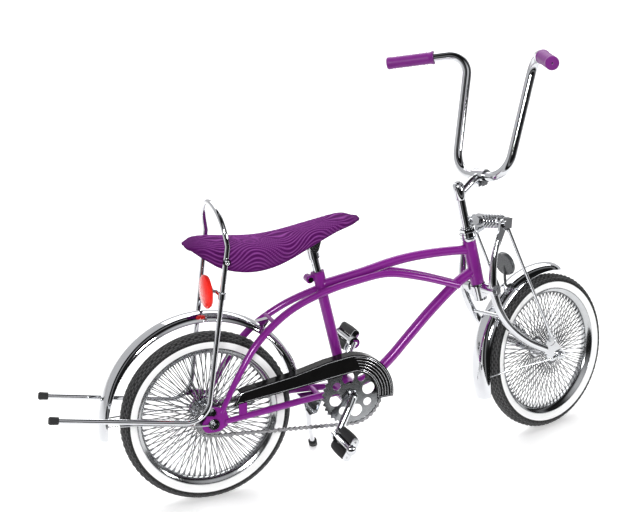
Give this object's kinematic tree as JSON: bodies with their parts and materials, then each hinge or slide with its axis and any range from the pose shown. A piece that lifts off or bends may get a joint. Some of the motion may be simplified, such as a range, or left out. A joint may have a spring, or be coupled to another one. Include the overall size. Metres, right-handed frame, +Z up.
{
  "type": "kids bicycle",
  "caption": "Single-speed child's bicycle with a long banana seat, high-rise handlebar, spring fork, backrest hoop, chain guard, fenders and kickstand, standing on its stand.",
  "frame": {"origin": "middle of the floor of the whole bicycle's bounding box, on the ground", "axes": "+X forward along the bicycle, +Y to the rider's left, +Z up; the bicycle leans 5 degrees to its left onto its kickstand and its front wheel is turned 16.5 degrees to the left"},
  "size_m": [1.452, 0.5382, 0.9903],
  "materials": {
    "purple_paint": "gloss purple enamel",
    "velour": "deep purple velour, stitched in wavy ribs",
    "grip_vinyl": "soft purple vinyl",
    "chrome": "bright chrome plate",
    "black_enamel": "gloss black enamel with chrome lines",
    "rubber": "matt black rubber",
    "tyre": "black tread with a white sidewall",
    "red_lens": "moulded red reflector",
    "clear_lens": "moulded clear reflector",
    "steel": "bare steel"
  },
  "bodies": {
    "frame_body": {"frame": "purple_paint", "seat_clamp": "purple_paint", "seat_clamp_bolt": "chrome", "seat_post": "chrome", "saddle_clamp": "chrome", "seat_pan": "steel", "seat_cushion": "velour", "backrest_hoop": "chrome", "wheelie_cap_left": "rubber", "wheelie_cap_right": "rubber", "hoop_nut_left": "chrome", "hoop_nut_right": "chrome", "rear_reflector": "red_lens", "reflector_bracket": "chrome", "rear_fender": "chrome", "rear_fender_stay": "chrome", "chain_guard": "black_enamel", "headset_cup_upper": "chrome", "headset_cup_lower": "chrome", "bottom_bracket_cup_left": "chrome", "bottom_bracket_cup_right": "chrome", "kickstand_bracket": "chrome", "rear_axle": "chrome", "coaster_brake_arm": "chrome", "chain": "steel"},
    "rear_wheel": {"rear_tyre": "tyre", "rear_rim": "chrome", "rear_hub_and_spokes": "chrome"},
    "driver": {"rear_cog": "steel"},
    "crank_set": {"crank": "chrome", "chainring": "chrome"},
    "pedal_left": {"pedal_cage_left": "chrome", "pedal_rubber_front_left": "rubber", "pedal_rubber_rear_left": "rubber"},
    "pedal_right": {"pedal_cage_right": "chrome", "pedal_rubber_front_right": "rubber", "pedal_rubber_rear_right": "rubber"},
    "steering": {"fork_crown": "chrome", "headset_lock_nut": "chrome", "stem": "chrome", "handlebar": "chrome", "grip_left": "grip_vinyl", "grip_right": "grip_vinyl", "spring_bracket": "chrome", "fork_spring": "chrome"},
    "springer": {"fork_leg_left": "chrome", "fork_leg_right": "chrome", "fork_strut_left": "chrome", "fork_strut_right": "chrome", "fork_yoke": "chrome", "spring_bolt": "chrome", "front_fender": "chrome", "front_fender_stay": "chrome", "front_reflector": "clear_lens", "front_axle": "chrome"},
    "front_wheel": {"front_tyre": "tyre", "front_rim": "chrome", "front_hub_and_spokes": "chrome"},
    "kickstand": {"kickstand_leg": "chrome", "kickstand_foot": "rubber"}
  },
  "joints": [
    {"name": "rear_wheel_spin", "type": "hinge", "parent": "frame_body", "child": "rear_wheel", "pos_m": [-0.36745, -0.09164, 0.19778], "axis": [0, 0.9962, -0.0872], "continuous": true},
    {"name": "crank_spin", "type": "hinge", "parent": "frame_body", "child": "crank_set", "pos_m": [-0.03045, -0.09081, 0.20725], "axis": [0, 0.9962, -0.0872], "continuous": true},
    {"name": "driver_spin", "type": "hinge", "parent": "frame_body", "child": "driver", "pos_m": [-0.36745, -0.09164, 0.19778], "axis": [0, 0.9962, -0.0872], "continuous": true},
    {"name": "pedal_left_spin", "type": "hinge", "parent": "crank_set", "child": "pedal_left", "pos_m": [0.02251, -0.08368, 0.2888], "axis": [0, 0.9962, -0.0872], "continuous": true},
    {"name": "pedal_right_spin", "type": "hinge", "parent": "crank_set", "child": "pedal_right", "pos_m": [-0.08341, -0.09795, 0.1257], "axis": [0, 0.9962, -0.0872], "continuous": true},
    {"name": "steering_turn", "type": "hinge", "parent": "frame_body", "child": "steering", "pos_m": [0.36435, -0.09164, 0.19778], "axis": [-0.2096, 0.0852, 0.9741], "range_deg": [-76.5, 43.5]},
    {"name": "fork_spring_travel", "type": "hinge", "parent": "steering", "child": "springer", "pos_m": [0.31897, -0.07319, 0.40867], "axis": [0.2777, -0.95, 0.1429], "range_deg": [0, 5.5], "stiffness_Nm_per_rad": 400, "springref_deg": -4.58, "deforming": ["fork_spring"]},
    {"name": "front_wheel_spin", "type": "hinge", "parent": "springer", "child": "front_wheel", "pos_m": [0.53415, -0.04214, 0.19685], "axis": [-0.2777, 0.95, -0.1429], "continuous": true},
    {"name": "kickstand_swing", "type": "hinge", "parent": "frame_body", "child": "kickstand", "pos_m": [-0.12095, -0.07983, 0.17216], "axis": [0, 0.9536, 0.3009], "range_deg": [0, 86.5]}
  ],
  "couplings": [
    {"joint": "driver_spin", "follows": "crank_spin", "ratio": 2.1176}
  ]
}
